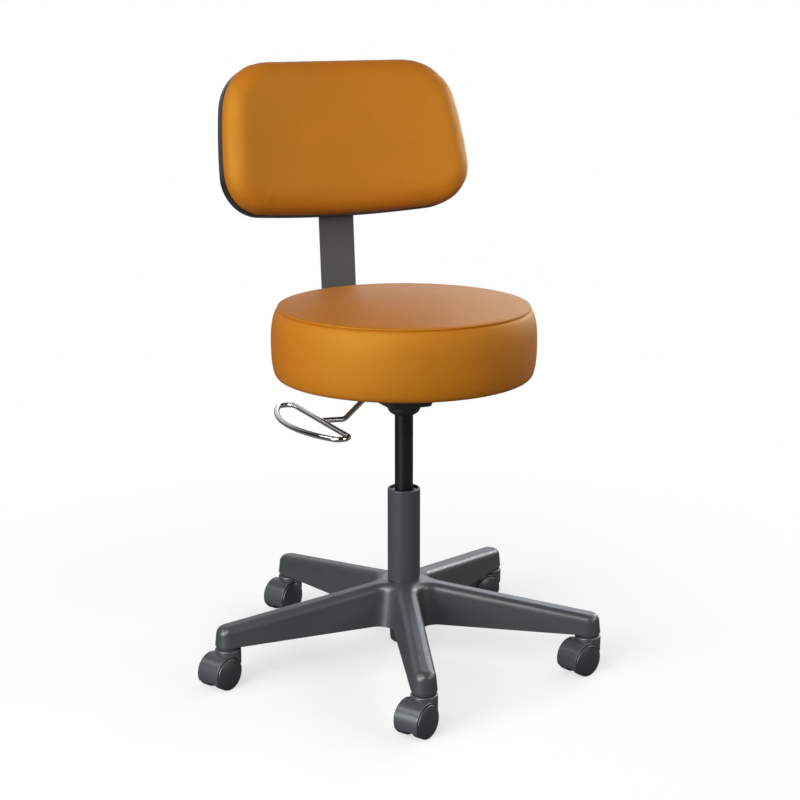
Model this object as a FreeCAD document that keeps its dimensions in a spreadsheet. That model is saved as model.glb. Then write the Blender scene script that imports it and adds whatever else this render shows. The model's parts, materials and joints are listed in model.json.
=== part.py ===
import FreeCAD, Part
import math
import os
import Sketcher

# Height-adjustable swivel stool with a round seat and a backrest.
# Millimetres, +Z up, origin on the floor under the lift column, sitter facing -Y.

Vector = FreeCAD.Vector
doc = FreeCAD.newDocument("swivel_stool")
sheet = doc.addObject("Spreadsheet::Sheet", "Sizes")

DRIVING = {
    # fits and clearances
    "fit_gap": 0.05,
    "running_gap": 0.1,
    "slide_gap": 0.3,
    "soft_gap": 0.3,
    # five-arm base
    "arm_count": 5,
    "base_turn": -37.6,
    "caster_circle": 286.4,
    "arm_root_rise": 64.9,
    "arm_tip_rise": 30.3,
    "arm_root_radius": 33,
    "arm_tip_width": 38,
    "arm_flare": 0.6,
    "arm_draft": 6,
    "arm_overlap": 12,
    "web_radius": 24,
    "arm_edge_radius": 12,
    "arm_wall": 4,
    "arm_rib": 3,
    "arm_cells": 4,
    "cell_start": 62,
    "caster_boss_width": 34.6,
    "caster_boss_drop": 3.7,
    # stand tube and its guide
    "tube_width": 50,
    "tube_wall": 2.5,
    "tube_rim": 2,
    "tube_top": 271,
    "tube_taper": 1.5,
    "tube_foot": 24.5,
    "tube_foot_width": 42,
    "tube_foot_round": 5,
    "tube_floor": 3.5,
    "bushing_length": 75,
    "bushing_recess": 3.5,
    # thrust bearing
    "race_width": 30,
    "race_thickness": 2,
    "ball_width": 4,
    "ball_count": 12,
    "ball_circle": 10.5,
    "cage_width": 28,
    "cage_bore": 14,
    "cage_thickness": 2,
    # gas spring
    "rod_width": 10,
    "rod_step_width": 8,
    "clip_width": 16,
    "clip_thickness": 1.5,
    "clip_arc": 300,
    "clip_groove": 0.8,
    "rod_tail": 2.5,
    "bump_length": 8,
    "bump_width": 24,
    "piston_seat": 221.5,
    "piston_length": 16,
    "seal_width": 3,
    "column_width": 28,
    "column_wall": 2,
    "column_foot": 156.5,
    "column_drop": 27.9,
    "column_taper_length": 33,
    "column_taper": 0.8,
    "valve_length": 36,
    "rod_guide_length": 16,
    "pin_width": 6,
    "pin_length": 42,
    "pin_dome": 1,
    # column socket and mounting pan
    "socket_wall": 3,
    "socket_flare": 11,
    "socket_bowl_drop": 6,
    "socket_round": 14,
    "socket_neck_wall": 6,
    "pan_depth": 45.9,
    "pan_floor_half": 33,
    "pan_half_length": 54,
    "pan_half_width": 49,
    "pan_corner": 9,
    "pan_wall": 2.5,
    "flange_half_length": 92,
    "flange_half_width": 72,
    "flange_thickness": 3,
    "flange_corner": 14,
    "flange_bolt_x": 76,
    "flange_bolt_y": 56,
    # release lever
    "pivot_reach": 28,
    "pivot_drop": 13.9,
    "pivot_width": 6,
    "pivot_head_width": 9.6,
    "tongue_width": 16,
    "tongue_height": 14,
    "tongue_length": 12.5,
    "finger_thickness": 5,
    "finger_overhang": 7,
    "wire_width": 8,
    "wire_socket": 7.5,
    "wire_bend": 12,
    "stem_dip": 2,
    "stem_run": 98,
    "ring_distance": 136,
    "ring_drop": 57.4,
    "ring_length": 226,
    "ring_depth": 54,
    "ring_corner": 14,
    # seat
    "seat_height": 555.4,
    "seat_thickness": 107,
    "seat_crown": 5,
    "seat_radius": 200.1,
    "rim_inset": 10.9,
    "rim_round": 3,
    "seam_inset": 9.7,
    "seam_drop": 3.6,
    "shoulder_inset": 1.7,
    "shoulder_drop": 30.5,
    "waist_drop": 62,
    "foot_inset": 4.2,
    "foot_rise": 4,
    "foot_round": 6,
    "shoulder_arc": 78,
    "waist_arc": 292,
    "foot_arc": 212,
    "wrap_margin": 3,
    "cover_thickness": 1.2,
    "board_inset": 14.1,
    "board_thickness": 12,
    # fasteners
    "bolt_width": 6,
    "bolt_head_width": 12,
    "bolt_head_height": 4,
    "head_bevel": 1,
    "nut_width": 9,
    "nut_flange_width": 18,
    "nut_flange_thickness": 1.2,
    # upright bar, its channel and its sleeve
    "bar_width": 58,
    "bar_thickness": 6,
    "bar_end": 88,
    "bar_corner": 8,
    "upright_clearance": 38.4,
    "upright_lean": 4.6,
    "lower_bend": 30,
    "upper_bend": 60,
    "upright_top": 60,
    "channel_start": 78,
    "channel_setback": 18,
    "channel_wall": 3,
    "channel_flange": 17,
    "channel_bolt_inset": 17,
    "sleeve_length": 100,
    "sleeve_wall": 4,
    "sleeve_flange": 15,
    "sleeve_screw_inset": 14,
    "nut_boss_width": 18,
    "nut_boss_height": 7,
    # clamp knobs
    "knob_width": 42,
    "knob_height": 18,
    "knob_round": 2.5,
    "knob_lobes": 7,
    "knob_scallop": 5,
    "knob_standoff": 3,
    "knob_skin": 4,
    "stud_width": 8,
    "stud_tip": 1.3,
    # backrest
    "back_lean": 15.31,
    "back_offset": 50.7,
    "back_rise": 224.65,
    "back_curve": 818,
    "back_width": 401,
    "back_tall": 244,
    "back_head_corner": 84,
    "back_foot_corner": 62,
    "back_head_arc": 3500,
    "back_foot_arc": 3000,
    "back_side_arc": 900,
    "back_side_lean": 6,
    "panel_margin": 8,
    "cushion_thickness": 32,
    "cushion_crown": 5,
    "cushion_round": 20,
    "cushion_tuck": 5,
    "shell_depth": 22.5,
    "shell_wall": 3,
    "shell_round": 8,
    "shell_boss": 1.5,
    "shell_boss_margin": 6,
    "back_board_thickness": 10,
    "back_board_inset": 14,
    "screw_width": 5,
    "screw_head_width": 9,
    "screw_head_height": 3,
    # hooded twin-wheel casters
    "caster_turn_1": 195,
    "caster_turn_2": 189,
    "caster_turn_3": 208.5,
    "caster_turn_4": 207.5,
    "caster_turn_5": 208.8,
    "caster_trail": 19,
    "wheel_radius": 24.5,
    "wheel_inner": 6.6,
    "wheel_rim": 22.6,
    "wheel_dome": 4.6,
    "wheel_tread_round": 2.4,
    "hood_wall": 2.5,
    "hood_half_width": 20,
    "hood_round": 1.4,
    "hood_gap": 1,
    "hood_web": 12,
    "hood_clearance": 13.5,
    "neck_width": 39,
    "neck_cap": 7,
    "neck_height": 23,
    "neck_foot_width": 26,
    "neck_foot_height": 12,
    "neck_round": 2.5,
    "axle_width": 8,
    "axle_length": 32,
    "stem_width": 11,
    "stem_pivot_width": 8,
    "stem_depth": 25,
    "stem_rise": 19.3,
    "stem_collar_width": 17,
    "stem_collar_height": 1.5,
    "stem_tip": 2,
}


class Size:
    """One size, as a number to draw with and as a formula to bind to."""

    def __init__(self, value, text):
        self.value = value
        self.text = text

    def __add__(self, other):
        other = sized(other)
        return Size(self.value + other.value, f"({self.text} + {other.text})")

    def __radd__(self, other):
        return sized(other) + self

    def __sub__(self, other):
        other = sized(other)
        return Size(self.value - other.value, f"({self.text} - {other.text})")

    def __rsub__(self, other):
        return sized(other) - self

    def __mul__(self, other):
        other = sized(other)
        return Size(self.value * other.value, f"({self.text} * {other.text})")

    def __rmul__(self, other):
        return sized(other) * self

    def __truediv__(self, other):
        other = sized(other)
        return Size(self.value / other.value, f"({self.text} / {other.text})")

    def __rtruediv__(self, other):
        return sized(other) / self

    def __neg__(self):
        return 0 - self


def sized(number):
    if isinstance(number, Size):
        return number
    return Size(float(number), f"({float(number)})")


def sine(angle):
    angle = sized(angle)
    return Size(math.sin(math.radians(angle.value)), f"sin({angle.text})")


def cosine(angle):
    angle = sized(angle)
    return Size(math.cos(math.radians(angle.value)), f"cos({angle.text})")


def tangent(angle):
    angle = sized(angle)
    return Size(math.tan(math.radians(angle.value)), f"tan({angle.text})")


def arcsine(ratio):
    return Size(math.degrees(math.asin(ratio.value)), f"(asin({ratio.text}) / 1 deg)")


def diagonal(x, y):
    square = x * x + y * y
    return Size(math.sqrt(square.value), f"sqrt({square.text})")


class Driving:
    """The sheet's sizes, by name."""


def fill_sheet():
    driving = Driving()
    for row, (name, value) in enumerate(DRIVING.items(), start=1):
        sheet.set(f"A{row}", name.replace("_", " "))
        sheet.set(f"B{row}", str(value))
        sheet.setAlias(f"B{row}", name)
        setattr(driving, name, Size(float(value), f"Sizes.{name}"))
    doc.recompute()
    return driving


d = fill_sheet()
nodes = []


# Binding and drawing helpers

def bind(item, **sizes):
    for name, size in sizes.items():
        item.setExpression(name, sized(size).text)
    return item


def place(item, at=(0, 0, 0), turns=()):
    """Put an item at a point, turned about each (axis, angle), the first turn outermost."""
    x, y, z = (sized(value).text for value in at)
    steps = [f"rotation(vector({a[0]}; {a[1]}; {a[2]}); {sized(angle).text})" for a, angle in turns]
    spin = " * ".join(steps) or "rotation(vector(0; 0; 1); 0)"
    item.setExpression("Placement", f"placement(vector({x}; {y}; {z}); {spin})")
    return item


def node(item, label):
    item.Label = label
    nodes.append(item)
    return item


X_AXIS = (1, 0, 0)
Y_AXIS = (0, 1, 0)
Z_AXIS = (0, 0, 1)


def primitive(kind, label, at=(0, 0, 0), turns=(), **sizes):
    item = doc.addObject(f"Part::{kind}", label)
    bind(item, **sizes)
    return place(item, at, turns)


def cylinder(label, radius, height, at=(0, 0, 0), turns=()):
    return primitive("Cylinder", label, at, turns, Radius=radius, Height=height)


def cone(label, low, high, height, at=(0, 0, 0), turns=()):
    return primitive("Cone", label, at, turns, Radius1=low, Radius2=high, Height=height)


def box(label, length, width, height, at=(0, 0, 0)):
    return primitive("Box", label, at, (), Length=length, Width=width, Height=height)


def fuse(label, *items):
    item = doc.addObject("Part::MultiFuse", label)
    item.Shapes = list(items)
    return item


def cut(label, base, *tools):
    item = doc.addObject("Part::Cut", label)
    item.Base = base
    item.Tool = tools[0] if len(tools) == 1 else fuse(f"{label}_tools", *tools)
    return item


def group(label, items):
    item = doc.addObject("Part::Compound", label)
    item.Links = items
    return item


def new_body(label):
    return doc.addObject("PartDesign::Body", label)


def origin_feature(body, role):
    return next(item for item in body.Origin.OriginFeatures if item.Role == role)


def arc_edge(start, end, side, radius):
    """A minor arc that turns to the given side, and which of its ends comes first."""
    chord = end - start
    middle = (start + end) * 0.5
    rise = math.sqrt(max(radius ** 2 - (chord.Length / 2) ** 2, 0))
    normal = Vector(-chord.y, chord.x, 0).normalize()
    centre = middle + normal * (rise if side == "left" else -rise)
    first, last = (start, end) if side == "left" else (end, start)
    begin = math.atan2(first.y - centre.y, first.x - centre.x)
    finish = math.atan2(last.y - centre.y, last.x - centre.x)
    if finish < begin:
        finish += 2 * math.pi
    circle = Part.Circle(centre, Vector(0, 0, 1), radius)
    ends = (1, 2) if side == "left" else (2, 1)
    return Part.ArcOfCircle(circle, begin, finish), ends


def pin_point(sketch, edge, end, x, y):
    for size, kind, axis in ((sized(x), "DistanceX", -2), (sized(y), "DistanceY", -1)):
        if size.value == 0:
            sketch.addConstraint(Sketcher.Constraint("PointOnObject", edge, end, axis))
            continue
        number = sketch.addConstraint(Sketcher.Constraint(kind, -1, 1, edge, end, size.value))
        sketch.setExpression(f"Constraints[{number}]", size.text)


def set_radius(sketch, edge, radius):
    number = sketch.addConstraint(Sketcher.Constraint("Radius", edge, radius.value))
    sketch.setExpression(f"Constraints[{number}]", radius.text)


def trace(sketch, corners):
    """Close an outline. A corner is (x, y), or (x, y, side, radius) where an arc leaves it."""
    first = sketch.GeometryCount
    count = len(corners)
    points = [Vector(sized(corner[0]).value, sized(corner[1]).value, 0) for corner in corners]
    ends = []
    for i, corner in enumerate(corners):
        start, end = points[i], points[(i + 1) % count]
        if len(corner) == 2:
            geometry, order = Part.LineSegment(start, end), (1, 2)
        else:
            geometry, order = arc_edge(start, end, corner[2], sized(corner[3]).value)
        sketch.addGeometry(geometry, False)
        ends.append(order)
    for i, corner in enumerate(corners):
        after = (i + 1) % count
        link = Sketcher.Constraint("Coincident", first + i, ends[i][1], first + after, ends[after][0])
        sketch.addConstraint(link)
        pin_point(sketch, first + i, ends[i][0], corner[0], corner[1])
        if len(corner) > 2:
            set_radius(sketch, first + i, sized(corner[3]))


def trace_circle(sketch, x, y, radius):
    centre = Vector(sized(x).value, sized(y).value, 0)
    edge = sketch.addGeometry(Part.Circle(centre, Vector(0, 0, 1), radius.value), False)
    pin_point(sketch, edge, 3, x, y)
    set_radius(sketch, edge, radius)


def new_sketch(body, name, plane, height=None):
    sketch = body.newObject("Sketcher::SketchObject", f"{body.Name}_{name}")
    sketch.AttachmentSupport = [(origin_feature(body, plane), "")]
    sketch.MapMode = "FlatFace"
    if height is not None:
        sketch.setExpression("AttachmentOffset.Base.z", sized(height).text)
    return sketch


def draw(body, name, plane, *outlines, height=None, circles=()):
    sketch = new_sketch(body, name, plane, height)
    for outline in outlines:
        trace(sketch, outline)
    for x, y, radius in circles:
        trace_circle(sketch, x, y, radius)
    return sketch


def feature(body, kind, name, sketch):
    item = body.newObject(f"PartDesign::{kind}", f"{body.Name}_{name}")
    item.Profile = sketch
    return item


def pad(body, name, sketch, length, taper=0, middle=False, reverse=False):
    item = feature(body, "Pad", name, sketch)
    bind(item, Length=length, TaperAngle=taper)
    item.Midplane = middle
    item.Reversed = reverse
    return item


def pocket(body, name, sketch, length, taper=0, middle=False, reverse=False):
    """Cut a pocket, and stop if it takes nothing away."""
    doc.recompute()
    before = body.Shape.Volume
    item = feature(body, "Pocket", name, sketch)
    bind(item, Length=length, TaperAngle=taper)
    item.Midplane = middle
    item.Reversed = reverse
    doc.recompute()
    if body.Shape.Volume >= before:
        raise RuntimeError(f"{item.Name} cuts nothing")
    return item


def revolve(body, name, sketch, kind="Revolution", angle=360, middle=False):
    item = feature(body, kind, name, sketch)
    item.ReferenceAxis = (sketch, ["V_Axis"])
    bind(item, Angle=angle)
    item.Midplane = middle
    return item


def turned(label, *outlines, angle=360):
    """A body of revolution about Z from outlines of radius and height."""
    body = new_body(label)
    revolve(body, "turn", draw(body, "profile", "XZ_Plane", *outlines), angle=angle)
    return body


def around(body, name, originals, count):
    """Repeat features evenly about the body's Z axis."""
    item = body.newObject("PartDesign::PolarPattern", f"{body.Name}_{name}")
    item.Originals = originals
    item.Axis = (origin_feature(body, "Z_Axis"), [""])
    item.Angle = 360
    bind(item, Occurrences=count)
    body.Tip = item
    return item


def round_edges(body, name, radius, wanted):
    """Fillet the edges of the body's tip that the test picks."""
    doc.recompute()
    base = body.Tip
    names = [f"Edge{i}" for i, edge in enumerate(base.Shape.Edges, start=1) if wanted(edge)]
    item = body.newObject("PartDesign::Fillet", f"{body.Name}_{name}")
    item.Base = (base, names)
    bind(item, Radius=radius)
    doc.recompute()
    return item


def middle_of(edge):
    return edge.valueAt((edge.FirstParameter + edge.LastParameter) / 2)


def rounded_rectangle(half_x, half_y, corner):
    inner_x = half_x - corner
    inner_y = half_y - corner
    return [
        (-inner_x, -half_y), (inner_x, -half_y, "left", corner),
        (half_x, -inner_y), (half_x, inner_y, "left", corner),
        (inner_x, half_y), (-inner_x, half_y, "left", corner),
        (-half_x, inner_y), (-half_x, -inner_y, "left", corner),
    ]


def ring_outline(inner, outer, low, high):
    return [(inner, low), (outer, low), (outer, high), (inner, high)]


# Five-arm base

caster_height = 2 * d.wheel_radius + d.neck_cap
boss_bottom = caster_height + d.stem_collar_height
arm_bottom = boss_bottom + d.caster_boss_drop
arm_root_top = arm_bottom + d.arm_root_rise
arm_tip_top = arm_bottom + d.arm_tip_rise
stem_top = arm_bottom + d.stem_rise
arm_tip = d.arm_tip_width / 2
arm_reach = d.caster_circle + arm_tip * sine(d.arm_flare)
arm_tip_side = arm_tip * cosine(d.arm_flare)
arm_fall = (arm_root_top - arm_tip_top) / (d.caster_circle - d.arm_root_radius)
tube_radius = d.tube_width / 2
tube_narrowing = tangent(d.tube_taper)
tube_hub_radius = tube_radius - (arm_root_top - arm_bottom) * tube_narrowing


def arm_side(x):
    return arm_tip_side + (arm_reach - x) * tangent(d.arm_flare)


def arm_top(x):
    return arm_root_top - (x - d.arm_root_radius) * arm_fall


def spider_arms(body):
    root = -d.arm_overlap
    outline = [(root, -arm_side(root)), (arm_reach, -arm_tip_side, "left", arm_tip),
               (arm_reach, arm_tip_side), (root, arm_side(root))]
    sketch = draw(body, "arm_plan", "XY_Plane", outline, height=arm_bottom)
    rise = arm_root_top - arm_bottom + d.arm_wall
    arm = pad(body, "arm", sketch, rise, taper=-d.arm_draft)
    around(body, "arms", [arm], d.arm_count)

    def in_web(edge):
        spot = middle_of(edge)
        steep = edge.BoundBox.ZLength > 0.5 * rise.value
        return steep and math.hypot(spot.x, spot.y) < d.cell_start.value
    round_edges(body, "webs", d.web_radius, in_web)


def spider_top(body):
    end = d.caster_circle + d.arm_tip_width
    ceiling = arm_root_top + 2 * d.arm_wall
    outline = [(0, arm_root_top), (d.arm_root_radius, arm_root_top), (end, arm_top(end)),
               (end, ceiling), (0, ceiling)]
    revolve(body, "fall", draw(body, "fall_profile", "XZ_Plane", outline), "Groove")

    def on_top_edge(edge):
        spots = [edge.valueAt(edge.FirstParameter + (edge.LastParameter - edge.FirstParameter) * share)
                 for share in (0.2, 0.5, 0.8)]
        radii = [math.hypot(spot.x, spot.y) for spot in spots]
        heights = [arm_root_top.value - (r - d.arm_root_radius.value) * arm_fall.value for r in radii]
        on_top = all(abs(spot.z - height) < 0.01 for spot, height in zip(spots, heights))
        return on_top and min(radii) > d.arm_root_radius.value + 1
    round_edges(body, "top_edges", d.arm_edge_radius, on_top_edge)


def spider_cells(body):
    """Moulded cells under each arm, with a rib along it and ribs across it."""
    last = d.caster_circle - d.caster_boss_width / 2
    pitch = (last - d.cell_start) / d.arm_cells
    near = d.arm_rib / 2
    pockets = []
    for i in range(int(d.arm_cells.value)):
        low = d.cell_start + pitch * i + near
        high = d.cell_start + pitch * (i + 1) - near
        left = [(low, near), (high, near), (high, arm_side(high) - d.arm_wall),
                (low, arm_side(low) - d.arm_wall)]
        right = [(x, -y) for x, y in reversed(left)]
        sketch = draw(body, f"cell_plan_{i}", "XY_Plane", left, right, height=arm_bottom)
        depth = arm_top(high) - d.arm_wall - arm_bottom
        pockets.append(pocket(body, f"cell_{i}", sketch, depth, taper=-d.arm_draft, reverse=True))
    around(body, "cells", pockets, d.arm_count)


def spider_sockets(body):
    spot = (d.caster_circle, 0)
    sketch = draw(body, "boss_plan", "XY_Plane", height=boss_bottom,
                  circles=[(*spot, d.caster_boss_width / 2)])
    boss = pad(body, "boss", sketch, d.caster_boss_drop + d.arm_wall)
    around(body, "bosses", [boss], d.arm_count)
    sketch = draw(body, "stem_plan", "XY_Plane", height=boss_bottom,
                  circles=[(*spot, d.stem_width / 2 + d.fit_gap)])
    depth = stem_top - boss_bottom + d.running_gap
    around(body, "stem_holes", [pocket(body, "stem_hole", sketch, depth, reverse=True)], d.arm_count)


def base_spider():
    body = new_body("spider")
    spider_arms(body)
    spider_top(body)
    spider_cells(body)
    spider_sockets(body)
    low = arm_bottom - d.arm_wall
    high = arm_root_top + d.arm_wall
    bore = tube_radius + d.fit_gap
    outline = [(0, low), (bore - (arm_root_top - low) * tube_narrowing, low), (bore, arm_root_top),
               (bore, high), (0, high)]
    revolve(body, "tube_seat", draw(body, "tube_seat_profile", "XZ_Plane", outline), "Groove")
    place(body, turns=[(Z_AXIS, d.base_turn)])
    node(body, "base_spider")


# Stand tube with the thrust bearing on its floor

tube_bore = tube_radius - d.tube_wall
floor_top = d.tube_foot + d.tube_floor
rod_radius = d.rod_width / 2
step_radius = d.rod_step_width / 2
column_radius = d.column_width / 2
lower_race_top = floor_top + d.race_thickness
ball_centre = lower_race_top + d.ball_width / 2 + d.fit_gap
upper_race_bottom = ball_centre + d.ball_width / 2 + d.fit_gap
upper_race_top = upper_race_bottom + d.race_thickness


def stand_tube():
    foot = d.tube_foot_width / 2
    hole = step_radius + d.running_gap
    body = turned(
        "tube",
        [(hole, d.tube_foot), (foot - d.tube_foot_round, d.tube_foot, "left", d.tube_foot_round),
         (foot, d.tube_foot + d.tube_foot_round), (tube_hub_radius, arm_bottom),
         (tube_radius, arm_root_top), (tube_radius, d.tube_top - d.tube_rim, "left", d.tube_rim),
         (tube_radius - d.tube_rim, d.tube_top), (tube_bore, d.tube_top), (tube_bore, arm_root_top),
         (tube_hub_radius - d.tube_wall, arm_bottom), (foot - d.tube_wall, floor_top), (hole, floor_top)])
    node(body, "stand_tube")


def guide_bushing():
    high = d.tube_top - d.bushing_recess
    low = high - d.bushing_length
    bore = column_radius + d.running_gap
    lead = d.tube_rim
    body = turned("bushing", [(bore, low), (tube_bore - d.fit_gap, low), (tube_bore - d.fit_gap, high),
                              (bore + lead, high), (bore, high - lead)])
    node(body, "guide_bushing")


def thrust_bearing():
    race = d.race_width / 2
    node(turned("race_low", ring_outline(step_radius + d.running_gap, race, floor_top, lower_race_top)),
         "lower_race")
    node(turned("race_high", ring_outline(step_radius + d.fit_gap, race, upper_race_bottom, upper_race_top)),
         "upper_race")
    cage = turned("cage", ring_outline(d.cage_bore / 2, d.cage_width / 2, ball_centre - d.cage_thickness / 2,
                                       ball_centre + d.cage_thickness / 2))
    sketch = draw(cage, "ball_plan", "XY_Plane", height=ball_centre,
                  circles=[(d.ball_circle, 0, d.ball_width / 2 + d.running_gap)])
    hole = pocket(cage, "ball_hole", sketch, 2 * d.cage_thickness, middle=True)
    around(cage, "ball_holes", [hole], d.ball_count)
    node(cage, "ball_cage")
    balls = []
    for i in range(int(d.ball_count.value)):
        angle = 360 * i / d.ball_count
        spot = (d.ball_circle * cosine(angle), d.ball_circle * sine(angle), ball_centre)
        balls.append(primitive("Sphere", f"ball_{i}", spot, (), Radius=d.ball_width / 2))
    node(group("balls", balls), "bearing_balls")


# Heights and radii taken from the seat

seat_bottom = d.seat_height - d.seat_thickness
column_top = seat_bottom - d.column_drop
pan_bottom = seat_bottom - d.pan_depth
pivot_height = seat_bottom - d.pivot_drop
ring_height = seat_bottom - d.ring_drop
back_height = d.seat_height + d.back_rise
back_distance = d.seat_radius + d.back_offset
board_bottom = seat_bottom + d.cover_thickness + d.soft_gap
board_top = board_bottom + d.board_thickness
board_radius = d.seat_radius - d.board_inset
flange_bottom = board_bottom - d.flange_thickness
rim_radius = d.seat_radius - d.rim_inset
seam_radius = d.seat_radius - d.seam_inset
shoulder_radius = d.seat_radius - d.shoulder_inset
foot_radius = d.seat_radius - d.foot_inset


# Gas spring

clip_top = d.tube_foot - d.running_gap
clip_bottom = clip_top - d.clip_thickness
column_bore = column_radius - d.column_wall


def piston_rod():
    foot = clip_bottom - d.rod_tail
    groove = step_radius - d.clip_groove
    end = d.piston_seat + d.piston_length + d.rod_tail
    body = turned(
        "rod",
        [(0, foot), (step_radius, foot), (step_radius, clip_bottom), (groove, clip_bottom),
         (groove, clip_top), (step_radius, clip_top), (step_radius, upper_race_top),
         (rod_radius, upper_race_top), (rod_radius, d.piston_seat), (step_radius, d.piston_seat),
         (step_radius, end), (0, end)])
    node(body, "piston_rod")
    bore = groove + d.fit_gap
    section = ring_outline(bore, d.clip_width / 2, clip_bottom + d.fit_gap, clip_top - d.fit_gap)
    clip = turned("clip", section, angle=d.clip_arc)
    node(clip, "rod_clip")
    bump = turned("bump", ring_outline(rod_radius + d.fit_gap, d.bump_width / 2, upper_race_top,
                                       upper_race_top + d.bump_length))
    node(bump, "bump_stop")


def piston():
    outer = column_bore - d.slide_gap
    low = d.piston_seat
    high = low + d.piston_length
    seal_low = low + (d.piston_length - d.seal_width) / 2
    seal_high = seal_low + d.seal_width
    inner = outer - d.seal_width / 2
    bore = step_radius + d.fit_gap
    body = turned("piston_body", [(bore, low), (outer, low), (outer, seal_low), (inner, seal_low),
                                  (inner, seal_high), (outer, seal_high), (outer, high), (bore, high)])
    node(body, "piston")


def pressure_tube():
    top = column_radius - d.column_taper
    taper_low = column_top - d.column_taper_length
    valve_low = column_top - d.valve_length
    pin_bore = d.pin_width / 2 + d.running_gap
    body = turned("pressure", [(column_bore, d.column_foot), (column_radius, d.column_foot),
                               (column_radius, taper_low), (top, column_top), (pin_bore, column_top),
                               (pin_bore, valve_low), (column_bore, valve_low)])
    node(body, "pressure_tube")
    low = d.column_foot + d.column_wall
    guide = turned("guide", ring_outline(rod_radius + d.running_gap, column_bore - d.fit_gap, low,
                                         low + d.rod_guide_length))
    node(guide, "rod_guide")


finger_bottom = pivot_height - d.finger_thickness / 2


def release_pin():
    radius = d.pin_width / 2
    dome = d.pin_dome
    top = finger_bottom - d.slide_gap
    body = turned("pin", [(0, top - d.pin_length), (radius, top - d.pin_length),
                          (radius, top - dome, "left", dome), (radius - dome, top), (0, top)])
    node(body, "release_pin")


# Column socket and mounting pan under the seat

def column_socket():
    low = column_top - d.column_taper_length
    bore = column_radius + d.fit_gap
    neck = column_radius + d.socket_neck_wall
    bowl = column_radius + d.socket_flare
    shoulder = pan_bottom - d.socket_bowl_drop
    mouth = column_radius + d.socket_wall
    body = turned("socket", [(bore, low), (mouth, low, "left", d.socket_round), (bowl, shoulder),
                             (bowl, pan_bottom), (neck, pan_bottom), (neck, column_top),
                             (bore - d.column_taper, column_top)])
    node(body, "column_socket")


def loft(body, kind, name, low, high):
    item = feature(body, kind, name, low)
    item.Sections = [high]
    item.Ruled = True
    return item


def seat_pan():
    body = new_body("pan")
    wall = d.pan_wall
    corner = d.pan_corner
    floor = rounded_rectangle(d.pan_floor_half, d.pan_floor_half, corner)
    mouth = rounded_rectangle(d.pan_half_length, d.pan_half_width, corner)
    loft(body, "AdditiveLoft", "shape", draw(body, "floor", "XY_Plane", floor, height=pan_bottom),
         draw(body, "mouth", "XY_Plane", mouth, height=board_bottom))
    flange = rounded_rectangle(d.flange_half_length, d.flange_half_width, d.flange_corner)
    bolts = [(x, y, d.bolt_width / 2 + d.slide_gap) for x, y in pan_bolts()]
    pad(body, "flange", draw(body, "flange_plan", "XY_Plane", flange, height=flange_bottom, circles=bolts),
        d.flange_thickness)
    inner_floor = rounded_rectangle(d.pan_floor_half - wall, d.pan_floor_half - wall, corner - wall)
    inner_mouth = rounded_rectangle(d.pan_half_length - wall, d.pan_half_width - wall, corner - wall)
    loft(body, "SubtractiveLoft", "hollow",
         draw(body, "inner_floor", "XY_Plane", inner_floor, height=pan_bottom + wall),
         draw(body, "inner_mouth", "XY_Plane", inner_mouth, height=board_bottom))
    sketch = draw(body, "socket_plan", "XY_Plane", height=pan_bottom,
                  circles=[(0, 0, column_radius + d.socket_neck_wall + d.fit_gap)])
    pocket(body, "socket_hole", sketch, 4 * wall, middle=True)
    sketch = draw(body, "pivot_side", "XZ_Plane",
                  circles=[(-d.pivot_reach, pivot_height, d.pivot_width / 2 + d.fit_gap)])
    pocket(body, "pivot_holes", sketch, 3 * d.pan_half_width, middle=True)
    half = d.wire_width
    low = pivot_height - 2 * half
    slot = [(-half, low), (half, low), (half, pivot_height + half), (-half, pivot_height + half)]
    pocket(body, "wire_slot", draw(body, "wire_side", "YZ_Plane", slot), 2 * d.pan_half_length)
    node(body, "seat_pan")


# Release lever: a tongue on a cross pin, and the wire ring that lifts it

def lever_pin():
    radius = d.pivot_width / 2
    head = d.pivot_head_width / 2
    drop = (board_bottom - pivot_height - head) / (board_bottom - pan_bottom)
    wall = d.pan_half_width - (d.pan_half_width - d.pan_floor_half) * drop + d.fit_gap
    end = wall + d.pan_wall
    body = turned("cross_pin", [(0, -end), (head, -end), (head, -wall), (radius, -wall), (radius, wall),
                                (head, wall), (head, end), (0, end)])
    place(body, (-d.pivot_reach, 0, pivot_height), [(X_AXIS, 90)])
    node(body, "lever_pin")


def lever_tongue():
    body = new_body("tongue")
    half = d.tongue_height / 2
    thin = d.finger_thickness / 2
    mid = pivot_height
    back = -d.pivot_reach - d.tongue_length
    front = -d.pivot_reach + d.tongue_length
    outline = [(back, mid - half), (front - half, mid - half), (front, mid - thin),
               (d.finger_overhang, mid - thin), (d.finger_overhang, mid + thin), (front, mid + thin),
               (front - half, mid + half), (back, mid + half)]
    pad(body, "block", draw(body, "side", "XZ_Plane", outline), d.tongue_width, middle=True)
    sketch = draw(body, "pivot_side", "XZ_Plane",
                  circles=[(-d.pivot_reach, mid, d.pivot_width / 2 + d.running_gap)])
    pocket(body, "pivot_hole", sketch, 2 * d.tongue_width, middle=True)
    sketch = draw(body, "wire_end", "YZ_Plane", height=back,
                  circles=[(0, mid, d.wire_width / 2 + d.fit_gap)])
    pocket(body, "wire_hole", sketch, d.wire_socket, reverse=True)
    node(body, "lever_tongue")


def fillet_points(before, corner, after, radius):
    """Where an arc that rounds a corner begins, passes and ends."""
    to_before = (before - corner).normalize()
    to_after = (after - corner).normalize()
    half = to_before.getAngle(to_after) / 2
    reach = radius / math.tan(half)
    inward = (to_before + to_after).normalize()
    centre = corner + inward * (radius / math.sin(half))
    return corner + to_before * reach, centre - inward * radius, corner + to_after * reach


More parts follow.
